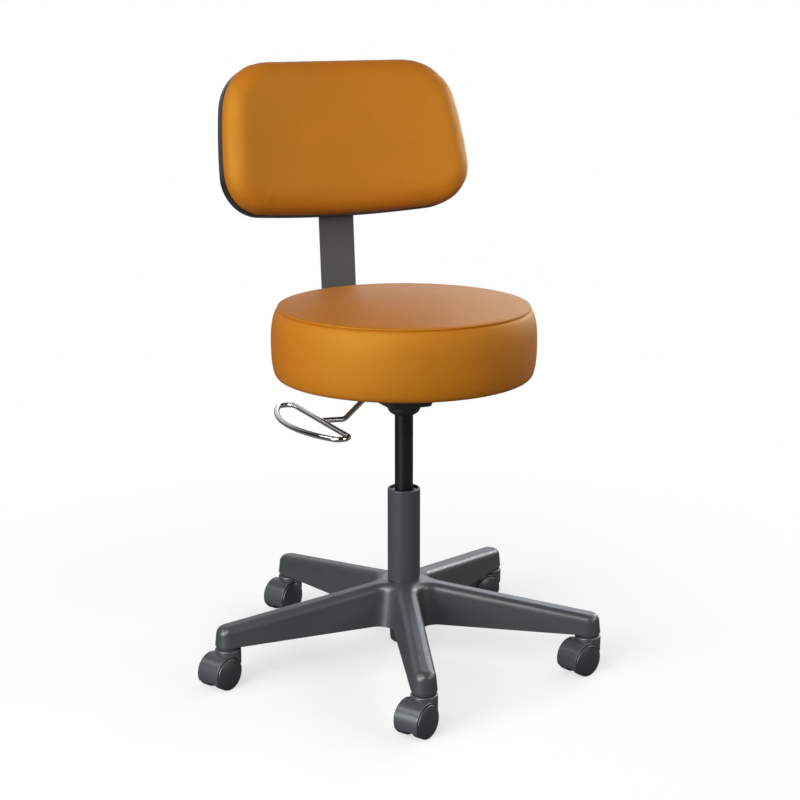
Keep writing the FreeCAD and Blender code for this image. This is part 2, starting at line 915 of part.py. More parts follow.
def rounded_route(points, radius):
    """An open wire through the points, with each corner rounded."""
    edges = []
    start = points[0]
    for before, corner, after in zip(points, points[1:], points[2:]):
        begin, via, end = fillet_points(before, corner, after, radius)
        edges.append(Part.LineSegment(start, begin).toShape())
        edges.append(Part.Arc(begin, via, end).toShape())
        start = end
    edges.append(Part.LineSegment(start, points[-1]).toShape())
    return Part.Wire(edges)


def ring_route(length, depth, corner, distance, height):
    """The D-shaped loop: a straight bar, two round corners and one wide outer arc."""
    straight = length / 2 - corner
    inner = depth - corner
    outer = (inner ** 2 + straight ** 2 - corner ** 2) / (2 * (inner - corner))
    centre = depth - outer
    swing = math.atan2(straight, corner - centre)

    def spot(out, along):
        return Vector(-distance - out, along, height)

    def corner_spot(side, angle):
        return spot(corner + corner * math.cos(angle), side * (straight + corner * math.sin(angle)))

    halfway = (math.pi + swing) / 2
    bend = [[corner_spot(side, angle) for angle in (math.pi, halfway, swing)] for side in (1, -1)]
    return Part.Wire([
        Part.LineSegment(spot(0, 0), spot(0, straight)).toShape(),
        Part.Arc(*bend[0]).toShape(),
        Part.Arc(bend[0][2], spot(depth, 0), bend[1][2]).toShape(),
        Part.Arc(*reversed(bend[1])).toShape(),
        Part.LineSegment(spot(0, -straight), spot(0, 0)).toShape(),
    ])


def swept(label, wire, at, turns):
    route = doc.addObject("Part::Feature", f"{label}_route")
    route.Shape = wire
    section = primitive("Circle", f"{label}_section", at, turns, Radius=d.wire_width / 2)
    item = doc.addObject("Part::Sweep", label)
    item.Sections = [section]
    item.Spine = (route, [f"Edge{i}" for i in range(1, len(wire.Edges) + 1)])
    item.Solid = True
    return item


def release_wire():
    start = -d.pivot_reach - d.tongue_length + d.wire_socket - d.fit_gap
    bend = start - d.wire_socket - d.wire_width / 2
    low = ring_height - d.stem_dip
    points = [(start, pivot_height), (bend, pivot_height), (-d.stem_run, low),
              (-d.ring_distance, ring_height)]
    route = rounded_route([Vector(x.value, 0, z.value) for x, z in points], d.wire_bend.value)
    stem = swept("stem", route, (start, 0, pivot_height), [(Y_AXIS, 90)])
    loop_route = ring_route(d.ring_length.value, d.ring_depth.value, d.ring_corner.value,
                            d.ring_distance.value, ring_height.value)
    loop = swept("loop", loop_route, (-d.ring_distance, 0, ring_height), [(X_AXIS, 90)])
    node(fuse("release_wire_weld", stem, loop), "release_wire")


# Round seat, whose cover is stapled to its board outside the bar channel

channel_half = d.bar_width / 2 + d.slide_gap
channel_end = board_radius - d.channel_setback
channel_length = channel_end - d.channel_start
wrap_radius = d.wrap_margin + diagonal(channel_half + d.channel_wall + d.channel_flange, channel_end)


def crown_arc(rise, reach):
    return (reach * reach + rise * rise) / (2 * rise)


def seat_top_panel():
    thick = d.cover_thickness
    flat = rim_radius - d.rim_round
    arc = crown_arc(d.seat_crown, flat)
    high = d.seat_height
    low = high - d.rim_round
    body = turned(
        "top_panel",
        [(0, high + d.seat_crown - thick), (0, high + d.seat_crown, "right", arc),
         (flat, high, "right", d.rim_round), (rim_radius, low), (rim_radius - thick, low, "left",
                                                                   d.rim_round - thick),
         (flat, high - thick, "left", arc)])
    node(body, "seat_top_panel")


def side_curve(inset):
    """The bulging side of the seat from its seam down to its foot, drawn in by an inset."""
    high = d.seat_height
    foot = seat_bottom + d.foot_rise
    return [(seam_radius - inset, high - d.seam_drop), (shoulder_radius - inset, high - d.shoulder_drop),
            (d.seat_radius - inset, high - d.waist_drop), (foot_radius - inset, foot)]


def seat_side_band():
    thick = d.cover_thickness
    arcs = (d.shoulder_arc, d.waist_arc, d.foot_arc)
    outer = side_curve(sized(0))
    inner = side_curve(thick)
    turn_in = foot_radius - d.foot_round
    outline = [(*point, "right", arc) for point, arc in zip(outer, arcs)]
    outline += [(*outer[3], "right", d.foot_round), (turn_in, seat_bottom), (wrap_radius, seat_bottom),
                (wrap_radius, seat_bottom + thick), (turn_in, seat_bottom + thick, "left", d.foot_round)]
    outline += [(*inner[3], "left", d.foot_arc - thick), (*inner[2], "left", d.waist_arc - thick),
                (*inner[1], "left", d.shoulder_arc - thick), inner[0]]
    node(turned("side_band", outline), "seat_side_band")


def seat_foam():
    inset = d.cover_thickness + d.soft_gap
    flat = rim_radius - d.rim_round
    arc = crown_arc(d.seat_crown, flat)
    high = d.seat_height - inset
    curve = side_curve(inset)
    rim = rim_radius - inset
    hem = board_bottom + d.foot_rise
    core = board_radius + d.soft_gap
    outline = [(0, board_top), (core, board_top), (core, hem), (foot_radius - inset - d.soft_gap, hem),
               (*curve[3], "left", d.foot_arc), (*curve[2], "left", d.waist_arc),
               (*curve[1], "left", d.shoulder_arc), curve[0], (rim, d.seat_height - d.seam_drop),
               (rim, d.seat_height - d.rim_round, "left", d.rim_round - inset), (flat, high, "left", arc),
               (0, high + d.seat_crown)]
    node(turned("foam", outline), "seat_foam")


def pan_bolts():
    return [(x, y) for x in (-d.flange_bolt_x, d.flange_bolt_x) for y in (-d.flange_bolt_y, d.flange_bolt_y)]


def channel_bolts():
    side = channel_half + d.channel_wall + d.channel_flange / 2
    ends = (d.channel_start + d.channel_bolt_inset, channel_end - d.channel_bolt_inset)
    return [(x, y) for x in (-side, side) for y in ends]


def seat_board():
    body = new_body("board")
    sketch = draw(body, "disc", "XY_Plane", height=board_bottom,
                  circles=[(0, 0, board_radius)])
    pad(body, "plate", sketch, d.board_thickness)
    holes = [(x, y, d.nut_width / 2 + d.fit_gap) for x, y in pan_bolts() + channel_bolts()]
    pocket(body, "nut_holes", draw(body, "nut_plan", "XY_Plane", height=board_bottom, circles=holes),
           2 * d.board_thickness, reverse=True)
    rims = [(x, y, d.nut_flange_width / 2 + d.fit_gap) for x, y in pan_bolts() + channel_bolts()]
    sketch = draw(body, "rim_plan", "XY_Plane", height=board_top, circles=rims)
    pocket(body, "nut_rims", sketch, d.nut_flange_thickness + d.fit_gap)
    node(body, "seat_board")


def seat_fasteners():
    bolts = []
    nuts = []
    grip = d.bolt_width / 2
    crown = d.bolt_head_width / 2
    barrel_low = board_bottom + d.cover_thickness
    for i, (x, y) in enumerate(pan_bolts() + channel_bolts()):
        shank = cylinder(f"bolt_shank_{i}", grip, board_top - flange_bottom - grip,
                         (x, y, flange_bottom))
        head = cone(f"bolt_head_{i}", crown - d.head_bevel, crown, d.bolt_head_height,
                    (x, y, flange_bottom - d.bolt_head_height))
        bolts.append(fuse(f"bolt_{i}", shank, head))
        barrel = cylinder(f"nut_barrel_{i}", d.nut_width / 2, board_top - barrel_low, (x, y, barrel_low))
        rim = cylinder(f"nut_rim_{i}", d.nut_flange_width / 2, d.nut_flange_thickness,
                       (x, y, board_top - d.nut_flange_thickness))
        bore = cylinder(f"nut_bore_{i}", grip + d.fit_gap, d.board_thickness + d.flange_thickness,
                        (x, y, board_bottom))
        nuts.append(cut(f"nut_{i}", fuse(f"nut_solid_{i}", barrel, rim), bore))
    node(group("bolts", bolts), "seat_bolts")
    node(group("nuts", nuts), "seat_tee_nuts")


# Upright bar with the channel under the seat and the sleeve behind the backrest

slot_depth = d.bar_thickness + 2 * d.slide_gap
upright_distance = d.seat_radius + d.upright_clearance
bar_height = flange_bottom - d.slide_gap - d.bar_thickness / 2
sleeve_face = d.back_curve + d.shell_depth + d.shell_boss
bar_setback = d.shell_depth + d.shell_boss + d.sleeve_wall + d.slide_gap + d.bar_thickness / 2


def sleeve_profile(face, plate, wall, flange, sign):
    """A closed slot for the bar with two bolting flanges, seen along the bar."""
    outer = channel_half + wall
    wing = outer + flange
    slot_near = face + sign * plate
    slot_far = slot_near + sign * slot_depth
    back = slot_far + sign * wall
    shell = [(-wing, face), (wing, face), (wing, slot_near), (outer, slot_near), (outer, back),
             (-outer, back), (-outer, slot_near), (-wing, slot_near)]
    slot = [(-channel_half, slot_near), (channel_half, slot_near), (channel_half, slot_far),
            (-channel_half, slot_far)]
    return shell, slot, back


def back_channel():
    body = new_body("channel")
    plate = d.flange_thickness
    shell, slot, back = sleeve_profile(board_bottom, plate, d.channel_wall, d.channel_flange, -1)
    pad(body, "section", draw(body, "profile", "XZ_Plane", shell, slot, height=-d.channel_start),
        channel_length, reverse=True)
    middle = d.channel_start + channel_length / 2
    sketch = draw(body, "nut_plan", "XY_Plane", height=back, circles=[(0, middle, d.nut_boss_width / 2)])
    pad(body, "nut", sketch, d.nut_boss_height, reverse=True)
    low = back - 2 * d.nut_boss_height
    sketch = draw(body, "stud_plan", "XY_Plane", height=low,
                  circles=[(0, middle, d.stud_width / 2 + d.running_gap)])
    pocket(body, "stud_hole", sketch, 2 * d.nut_boss_height + d.channel_wall + d.slide_gap, reverse=True)
    holes = [(x, y, d.bolt_width / 2 + d.slide_gap) for x, y in channel_bolts()]
    sketch = draw(body, "bolt_plan", "XY_Plane", height=flange_bottom, circles=holes)
    pocket(body, "bolt_holes", sketch, 4 * plate, middle=True)
    node(body, "back_channel")


def upright_corners():
    """The bar's middle line, seen from the side: inner end, lower bend, upper bend, top end."""
    rise = tangent(d.upright_lean)
    tilt = tangent(d.back_lean)
    back_y = back_distance + bar_setback * cosine(d.back_lean)
    back_z = back_height - bar_setback * sine(d.back_lean)
    meet = (back_y - upright_distance + bar_height * rise - back_z * tilt) / (rise - tilt)
    bend_y = upright_distance + (meet - bar_height) * rise
    top_y = back_y + d.upright_top * sine(d.back_lean)
    top_z = back_z + d.upright_top * cosine(d.back_lean)
    return (d.bar_end, bar_height), (upright_distance, bar_height), (bend_y, meet), (top_y, top_z)


def back_upright():
    half = d.bar_thickness / 2
    start, low, high, top = upright_corners()
    lean = (sine(d.upright_lean), cosine(d.upright_lean))
    tilt = (sine(d.back_lean), cosine(d.back_lean))
    low_reach = d.lower_bend * tangent((90 - d.upright_lean) / 2)
    high_reach = d.upper_bend * tangent((d.back_lean - d.upright_lean) / 2)

    def offset(point, along, distance, side):
        """A point moved along a direction and then to its left by a signed half thickness."""
        return (point[0] + along[0] * distance - along[1] * half * side,
                point[1] + along[1] * distance + along[0] * half * side)

    flat = (sized(1), sized(0))
    front = [offset(start, flat, sized(0), 1),
             (*offset(low, flat, -low_reach, 1), "left", d.lower_bend - half),
             offset(low, lean, low_reach, 1),
             (*offset(high, lean, -high_reach, 1), "right", d.upper_bend + half),
             offset(high, tilt, high_reach, 1),
             offset(top, tilt, sized(0), 1)]
    rear = [offset(top, tilt, sized(0), -1),
            (*offset(high, tilt, high_reach, -1), "left", d.upper_bend - half),
            offset(high, lean, -high_reach, -1),
            (*offset(low, lean, low_reach, -1), "right", d.lower_bend + half),
            offset(low, flat, -low_reach, -1),
            offset(start, flat, sized(0), -1)]
    body = new_body("upright")
    pad(body, "strip", draw(body, "side", "YZ_Plane", front + rear), d.bar_width, middle=True)

    def end_corner(edge):
        spot = middle_of(edge)
        across = edge.BoundBox.XLength < 0.01 and edge.Length < 1.5 * d.bar_thickness.value
        return across and abs(abs(spot.x) - d.bar_width.value / 2) < 0.01
    round_edges(body, "end_corners", d.bar_corner, end_corner)
    node(body, "back_upright")


def clamp_knob(label, reach):
    """A lobed knob on a stud. The stud's tip is at the origin and the knob lies along +Z."""
    outer = d.knob_width / 2
    body = new_body(label)
    sketch = draw(body, "plan", "XY_Plane", height=reach, circles=[(0, 0, outer)])
    pad(body, "head", sketch, d.knob_height)
    sketch = draw(body, "scallop_plan", "XY_Plane", height=reach,
                  circles=[(outer + d.knob_scallop / 2, 0, d.knob_scallop)])
    scallop = pocket(body, "scallop", sketch, d.knob_height, reverse=True)
    around(body, "lobes", [scallop], d.knob_lobes)
    top = reach + d.knob_height

    def outer_rim(edge):
        box = edge.BoundBox
        return box.ZLength < 0.01 and abs(box.ZMin - top.value) < 0.01
    round_edges(body, "rim", d.knob_round, outer_rim)
    radius = d.stud_width / 2
    sketch = draw(body, "stud_plan", "XY_Plane", height=reach, circles=[(0, 0, radius + d.fit_gap)])
    pocket(body, "stud_hole", sketch, d.knob_height - d.knob_skin, reverse=True)
    stud_end = top - d.knob_skin - d.fit_gap
    stud = turned(f"{label}_pin", [(0, 0), (radius - d.stud_tip, 0), (radius, d.stud_tip),
                                   (radius, stud_end), (0, stud_end)])
    return body, stud


def knob_reach(wall):
    """From the stud's tip out to the knob's inner face."""
    return d.slide_gap + wall + d.nut_boss_height + d.knob_standoff - d.fit_gap


def depth_knob():
    head, stud = clamp_knob("depth_head", knob_reach(d.channel_wall))
    spot = (0, d.channel_start + channel_length / 2,
            bar_height - d.bar_thickness / 2 - d.slide_gap + d.fit_gap)
    node(place(head, spot, [(X_AXIS, 180)]), "depth_knob")
    node(place(stud, spot, [(X_AXIS, 180)]), "depth_stud")


# Backrest, modelled upright about the axis of its curve and then leaned back

def back_frame(item):
    axis = (0, back_distance - d.back_curve * cosine(d.back_lean),
            back_height + d.back_curve * sine(d.back_lean))
    return place(item, axis, [(X_AXIS, -d.back_lean)])


def on_back(across, up):
    """A point of the backrest's middle plane, given straight back from the curve's axis and up."""
    y = back_distance - d.back_curve * cosine(d.back_lean) + across * cosine(d.back_lean)
    y = y + up * sine(d.back_lean)
    z = back_height + d.back_curve * sine(d.back_lean) - across * sine(d.back_lean)
    return 0, y, z + up * cosine(d.back_lean)


def corner_centre(first, first_radius, second, second_radius, hint):
    """Where a circle's centre lies at two distances from two points, on the side of a hint."""
    gap = second - first
    along = (first_radius ** 2 - second_radius ** 2 + gap.Length ** 2) / (2 * gap.Length)
    across = math.sqrt(first_radius ** 2 - along ** 2)
    unit = Vector(gap).normalize()
    normal = Vector(-unit.y, unit.x, 0)
    spots = [first + unit * along + normal * across * side for side in (1, -1)]
    return min(spots, key=lambda spot: (spot - hint).Length)


def back_arcs(inset):
    """Centre and radius of the four wide arcs of the backrest's outline, and its corner radii."""
    tall = d.back_tall / 2
    half = d.back_width / 2
    lean_x = d.back_side_arc * cosine(d.back_side_lean)
    lean_y = d.back_side_arc * sine(d.back_side_lean)
    wide = [(sized(0), d.back_foot_arc - tall, d.back_foot_arc),
            (half - lean_x, -lean_y, d.back_side_arc),
            (sized(0), tall - d.back_head_arc, d.back_head_arc),
            (lean_x - half, -lean_y, d.back_side_arc)]
    corners = [d.back_foot_corner, d.back_head_corner, d.back_head_corner, d.back_foot_corner]
    return [(x, y, radius - inset) for x, y, radius in wide], [corner - inset for corner in corners]


def trace_back_outline(sketch, inset):
    """Four wide arcs joined by four tangent corner arcs, foot first and anticlockwise."""
    first = sketch.GeometryCount
    wide, corners = back_arcs(sized(inset))
    centres = [Vector(x.value, y.value, 0) for x, y, radius in wide]
    hints = [Vector(x * d.back_width.value / 3, y * d.back_tall.value / 3, 0)
             for x, y in ((1, -1), (1, 1), (-1, 1), (-1, -1))]
    rounds = [corner_centre(centres[i], wide[i][2].value - corners[i].value, centres[(i + 1) % 4],
                            wide[(i + 1) % 4][2].value - corners[i].value, hints[i]) for i in range(4)]

    def joint(i, centre):
        return (rounds[i] - centre).normalize()

    def add_arc(centre, radius, start, end):
        begin = math.atan2(start.y, start.x)
        finish = math.atan2(end.y, end.x)
        if finish < begin:
            finish += 2 * math.pi
        circle = Part.Circle(centre, Vector(0, 0, 1), radius)
        sketch.addGeometry(Part.ArcOfCircle(circle, begin, finish), False)

    for i in range(4):
        after = (i + 1) % 4
        add_arc(centres[i], wide[i][2].value, joint(i - 1, centres[i]), joint(i, centres[i]))
        add_arc(rounds[i], corners[i].value, joint(i, centres[i]), joint(i, centres[after]))
    for i in range(8):
        sketch.addConstraint(Sketcher.Constraint("Tangent", first + i, 2, first + (i + 1) % 8, 1))
    for i in range(4):
        x, y, radius = wide[i]
        pin_point(sketch, first + 2 * i, 3, x, y)
        set_radius(sketch, first + 2 * i, radius)
        set_radius(sketch, first + 2 * i + 1, corners[i])


def curved_panel(label, near, far, inset, crown=None):
    """A panel of the backrest's outline between two radii about its curve's axis."""
    body = new_body(label)
    tall = d.back_tall / 2 + d.cushion_round
    if crown is None:
        profile = ring_outline(near, far, -tall, tall)
    else:
        arc = crown_arc(crown, tall)
        profile = [(near, -tall), (far, -tall), (far, tall), (near, tall, "left", arc)]
    sweep = 2 * arcsine(d.back_width / (2 * near)) + d.panel_margin
    revolve(body, "sweep", draw(body, "profile", "YZ_Plane", profile), angle=sweep, middle=True)
    frame = rounded_rectangle(d.back_width, d.back_tall, d.back_head_corner)
    sketch = draw(body, "trim", "XZ_Plane", frame)
    trace_back_outline(sketch, inset)
    pocket(body, "outside", sketch, 2 * d.back_curve)
    return body


def rim_edges(radius, reach):
    """A test for the edges of a panel that lie at a distance from its curve's axis."""
    def wanted(edge):
        spots = [edge.valueAt(edge.FirstParameter + (edge.LastParameter - edge.FirstParameter) * share)
                 for share in (0.1, 0.5, 0.9)]
        return all(abs(math.hypot(spot.x, spot.y) - radius.value) < reach for spot in spots)
    return wanted


def back_shell():
    rear = d.back_curve + d.shell_depth
    outer = curved_panel("shell_outer", d.back_curve, rear, sized(0))
    round_edges(outer, "rear_edge", d.shell_round, rim_edges(rear, 0.01))
    inner_rear = rear - d.shell_wall
    inner = curved_panel("shell_inner", d.back_curve - d.shell_wall, inner_rear, d.shell_wall)
    round_edges(inner, "rear_edge", d.shell_round - d.shell_wall, rim_edges(inner_rear, 0.01))
    half = channel_half + d.sleeve_wall + d.sleeve_flange + d.shell_boss_margin
    tall = d.sleeve_length / 2 + d.shell_boss_margin
    boss = box("shell_boss_block", 2 * half, d.shell_boss + d.shell_wall, 2 * tall,
               (-half, inner_rear, -tall))
    tools = [cylinder(f"shell_screw_{i}", d.screw_width / 2 + d.slide_gap, 4 * d.shell_depth,
                      (x, d.back_curve, z), [(X_AXIS, -90)]) for i, (x, z) in enumerate(screw_spots())]
    tray = cut("shell_tray", outer, inner)
    shell = cut("shell_drilled", fuse("shell_joined", tray, boss), *tools)
    node(back_frame(shell), "back_shell")


def screw_spots():
    side = channel_half + d.sleeve_wall + d.sleeve_flange / 2
    up = d.sleeve_length / 2 - d.sleeve_screw_inset
    return [(x, z) for x in (-side, side) for z in (-up, up)]


def back_board():
    rear = d.back_curve + d.shell_depth - d.shell_wall - d.soft_gap
    panel = curved_panel("back_panel", rear - d.back_board_thickness, rear, d.back_board_inset)
    tools = [cylinder(f"board_screw_{i}", d.screw_width / 2 + d.fit_gap, 4 * d.shell_depth,
                      (x, d.back_curve, z), [(X_AXIS, -90)]) for i, (x, z) in enumerate(screw_spots())]
    node(back_frame(cut("board_drilled", panel, *tools)), "back_board")


def cushion_form(label, skin, inset, rear):
    """The crowned cushion, a skin's depth behind its front and an inset inside its outline."""
    near = d.back_curve - d.cushion_thickness + skin
    body = curved_panel(label, near, rear, inset, d.cushion_crown)
    round_edges(body, "front_edge", d.cushion_round - skin,
                rim_edges(near - d.cushion_crown / 2, d.cushion_crown.value))
    return body


def back_cushion():
    rear = d.back_curve - d.soft_gap
    thick = d.cover_thickness
    outer = cushion_form("cover_outer", sized(0), sized(0), rear)
    round_edges(outer, "rear_edge", d.cushion_tuck, rim_edges(rear, 0.01))
    inner = cushion_form("cover_inner", thick, thick, rear + d.shell_wall)
    node(back_frame(cut("cover_skin", outer, inner)), "back_cover")
    foam_rear = d.back_curve + d.shell_depth - d.shell_wall - d.back_board_thickness - 2 * d.soft_gap
    foam = cushion_form("foam_block", thick + d.soft_gap, d.shell_wall + d.soft_gap, foam_rear)
    node(back_frame(foam), "back_foam")


def back_sleeve():
    body = new_body("sleeve")
    shell, slot, back = sleeve_profile(sleeve_face, d.sleeve_wall, d.sleeve_wall, d.sleeve_flange, 1)
    pad(body, "section", draw(body, "profile", "XY_Plane", shell, slot), d.sleeve_length, middle=True)
    sketch = draw(body, "nut_plan", "XZ_Plane", height=-back, circles=[(0, 0, d.nut_boss_width / 2)])
    pad(body, "nut", sketch, d.nut_boss_height, reverse=True)
    sketch = draw(body, "stud_plan", "XZ_Plane", height=-back - d.nut_boss_height,
                  circles=[(0, 0, d.stud_width / 2 + d.running_gap)])
    pocket(body, "stud_hole", sketch, d.nut_boss_height + d.sleeve_wall + d.slide_gap, reverse=True)
    holes = [(x, z, d.screw_width / 2 + d.slide_gap) for x, z in screw_spots()]
    sketch = draw(body, "screw_plan", "XZ_Plane", height=-sleeve_face, circles=holes)
    pocket(body, "screw_holes", sketch, 4 * d.sleeve_wall, middle=True)
    node(back_frame(body), "back_sleeve")
    screws = []
    head_face = sleeve_face + d.sleeve_wall
    tip = d.back_curve + d.shell_depth - d.shell_wall - d.back_board_thickness
    crown = d.screw_head_width / 2
    turn = [(X_AXIS, -90)]
    for i, (x, z) in enumerate(screw_spots()):
        shank = cylinder(f"screw_shank_{i}", d.screw_width / 2, head_face - tip, (x, tip, z), turn)
        head = cone(f"screw_head_{i}", crown, crown - d.head_bevel, d.screw_head_height,
                    (x, head_face, z), turn)
        screws.append(fuse(f"screw_{i}", shank, head))
    node(back_frame(group("screws", screws)), "back_screws")


def height_knob():
    head, stud = clamp_knob("height_head", knob_reach(d.sleeve_wall))
    spot = on_back(sleeve_face + d.sleeve_wall + d.bar_thickness + 2 * d.slide_gap - d.fit_gap, sized(0))
    turns = [(X_AXIS, -d.back_lean), (X_AXIS, -90)]
    node(place(head, spot, turns), "height_knob")
    node(place(stud, spot, turns), "height_stud")


# Hooded twin-wheel casters, each trailing its own way

stem_bottom = caster_height - d.stem_depth


def caster_spot(i):
    angle = d.base_turn + 360 / d.arm_count * i
    return d.caster_circle * cosine(angle), d.caster_circle * sine(angle)


def caster_stems():
    radius = d.stem_width / 2
    stems = []
    for i in range(int(d.arm_count.value)):
        x, y = caster_spot(i)
        collar_low = caster_height + d.running_gap
        pivot = cylinder(f"stem_pivot_{i}", d.stem_pivot_width / 2, boss_bottom - stem_bottom,
                         (x, y, stem_bottom))
        shank = cylinder(f"stem_shank_{i}", radius, stem_top - d.stem_tip - collar_low, (x, y, collar_low))
        tip = cone(f"stem_point_{i}", radius, radius - d.stem_tip / 2, d.stem_tip,
                   (x, y, stem_top - d.stem_tip))
        collar = cylinder(f"stem_collar_{i}", d.stem_collar_width / 2, boss_bottom - collar_low,
                          (x, y, collar_low))
        stems.append(fuse(f"stem_{i}", pivot, shank, tip, collar))
    node(group("stems", stems), "caster_stems")


def hood_shape(label):
    """The hood about its stem, trailing along +X, with its two wheel wells."""
    trail = d.caster_trail
    half = d.hood_half_width
    turn = [(X_AXIS, 90)]
    hood_radius = d.wheel_radius + d.hood_wall
    neck_bottom = caster_height - d.neck_height
    neck_foot = neck_bottom - d.neck_foot_height
    drum = cylinder(f"{label}_drum", hood_radius, 2 * half, (trail, half, d.wheel_radius), turn)
    neck = cylinder(f"{label}_neck", d.neck_width / 2, caster_height - neck_bottom, (0, 0, neck_bottom))
    foot = cone(f"{label}_foot", d.neck_foot_width / 2, d.neck_width / 2, d.neck_foot_height,
                (0, 0, neck_foot))
    doc.recompute()
    drum = rounded(f"{label}_drum_round", drum, d.hood_round, (2, 3))
    neck = rounded(f"{label}_neck_round", neck, d.neck_round, (3,))
    well = d.wheel_radius + d.hood_gap
    deep = d.neck_width
    web = d.hood_web / 2
    right = cylinder(f"{label}_well_right", well, deep, (trail, web + deep, d.wheel_radius), turn)
    left = cylinder(f"{label}_well_left", well, deep, (trail, -web, d.wheel_radius), turn)
    wide = 4 * hood_radius
    under = -hood_radius
    floor = box(f"{label}_open_floor", wide, wide, d.hood_clearance - under,
                (trail - wide / 2, -wide / 2, under))
    heel = [box(f"{label}_open_heel_{i}", wide, deep, neck_foot - under, (trail - wide, y, under))
            for i, y in enumerate((web, -web - deep))]
    stem = cylinder(f"{label}_stem_hole", d.stem_pivot_width / 2 + d.running_gap, wide,
                    (0, 0, stem_bottom - d.running_gap))
    axle = cylinder(f"{label}_axle_hole", d.axle_width / 2 + d.fit_gap, 2 * deep,
                    (trail, deep, d.wheel_radius), turn)
    return cut(label, fuse(f"{label}_mass", drum, neck, foot), right, left, floor, *heel, stem, axle)


def rounded(label, base, radius, edges):
    item = doc.addObject("Part::Fillet", label)
    item.Base = base
    item.Edges = [(edge, radius.value, radius.value) for edge in edges]
    return item


def wheel_outline():
    """Half of a wheel's section: blind hub, round-edged tread and domed face."""
    bore = d.axle_width / 2 + d.running_gap
    blind = d.axle_length / 2 + d.slide_gap
    soft = d.wheel_tread_round
    shoulder = d.wheel_radius - soft
    face = d.wheel_rim
    return [(bore, d.wheel_inner), (shoulder, d.wheel_inner, "left", soft),
            (d.wheel_radius, d.wheel_inner + soft), (d.wheel_radius, face - soft, "left", soft),
            (shoulder, face, "left", crown_arc(d.wheel_dome, shoulder)),
            (0, face + d.wheel_dome), (0, blind), (bore, blind)]


def caster(i):
    number = i + 1
    x, y = caster_spot(i)
    trailing = getattr(d, f"caster_turn_{number}")
    turn = (Z_AXIS, trailing)
    hood = place(hood_shape(f"hood_{number}"), (x, y, 0), [turn])
    node(hood, f"caster_hood_{number}")
    hub_x = x + d.caster_trail * cosine(trailing)
    hub_y = y + d.caster_trail * sine(trailing)
    hub = (hub_x, hub_y, d.wheel_radius)
    half = d.axle_length / 2
    radius = d.axle_width / 2
    axle = turned(f"axle_{number}", [(0, -half), (radius, -half), (radius, half), (0, half)])
    node(place(axle, hub, [turn, (X_AXIS, 90)]), f"caster_axle_{number}")
    for side, tilt in (("left", 90), ("right", -90)):
        wheel = turned(f"wheel_{number}_{side}", wheel_outline())
        node(place(wheel, hub, [turn, (X_AXIS, tilt)]), f"caster_wheel_{number}_{side}")


def build():
    base_spider()
    stand_tube()
    guide_bushing()
    thrust_bearing()
    piston_rod()
    piston()
    pressure_tube()
    release_pin()
    column_socket()
    seat_pan()
    lever_pin()
    lever_tongue()
    release_wire()
    seat_top_panel()
    seat_side_band()
    seat_foam()
    seat_board()
    seat_fasteners()
    back_channel()
    back_upright()
    depth_knob()
    back_shell()
    back_board()
    back_cushion()
    back_sleeve()
    height_knob()
    caster_stems()
    for i in range(int(d.arm_count.value)):
        caster(i)


def check():
    doc.recompute()
    for item in doc.Objects:
        if "Invalid" in item.State or "Error" in item.State:
            raise RuntimeError(f"{item.Name} failed: {item.State}")
    for item in nodes:
        if item.Shape.isNull() or not item.Shape.isValid():
            raise RuntimeError(f"{item.Label} has no valid shape")
        if not item.Shape.Solids:
            raise RuntimeError(f"{item.Label} has no solid")


def write():
    os.makedirs("parts", exist_ok=True)
    for item in nodes:
        item.Shape.exportStep(f"parts/{item.Label}.step")
        print(item.Label, len(item.Shape.Solids), round(item.Shape.Volume / 1000, 2))


build()
check()
write()
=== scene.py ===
import json
import math
import bmesh
import bpy
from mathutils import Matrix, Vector, kdtree


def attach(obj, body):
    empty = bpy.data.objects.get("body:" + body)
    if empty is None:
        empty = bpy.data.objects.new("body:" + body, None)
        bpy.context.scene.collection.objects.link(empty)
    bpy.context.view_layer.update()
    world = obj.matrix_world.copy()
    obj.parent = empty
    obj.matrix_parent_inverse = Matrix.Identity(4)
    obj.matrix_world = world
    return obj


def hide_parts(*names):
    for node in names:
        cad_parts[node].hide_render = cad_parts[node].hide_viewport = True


# Swivel stool with a round seat and a backrest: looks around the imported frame, in metres

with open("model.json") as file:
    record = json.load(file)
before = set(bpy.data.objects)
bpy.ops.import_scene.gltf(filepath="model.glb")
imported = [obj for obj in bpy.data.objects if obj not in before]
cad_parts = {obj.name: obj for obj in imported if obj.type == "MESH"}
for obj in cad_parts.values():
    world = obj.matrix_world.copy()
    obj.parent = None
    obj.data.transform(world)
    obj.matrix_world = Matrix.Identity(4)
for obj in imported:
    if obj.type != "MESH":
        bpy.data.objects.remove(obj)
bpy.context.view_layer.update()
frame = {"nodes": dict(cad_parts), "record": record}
nodes = frame["nodes"]
scene = bpy.context.scene
print("frame loaded:", len(nodes), "nodes")


# sums on shader sockets

class Wire:
    def __init__(self, finish, socket):
        self.finish = finish
        self.socket = socket

    def sum(self, kind, other):
        return self.finish.node("Math", {"operation": kind}, {0: self, 1: other})

    def __add__(self, other):
        return self.sum("ADD", other)

    __radd__ = __add__

    def __sub__(self, other):
        return self.sum("SUBTRACT", other)

    def __mul__(self, other):
        return self.sum("MULTIPLY", other)


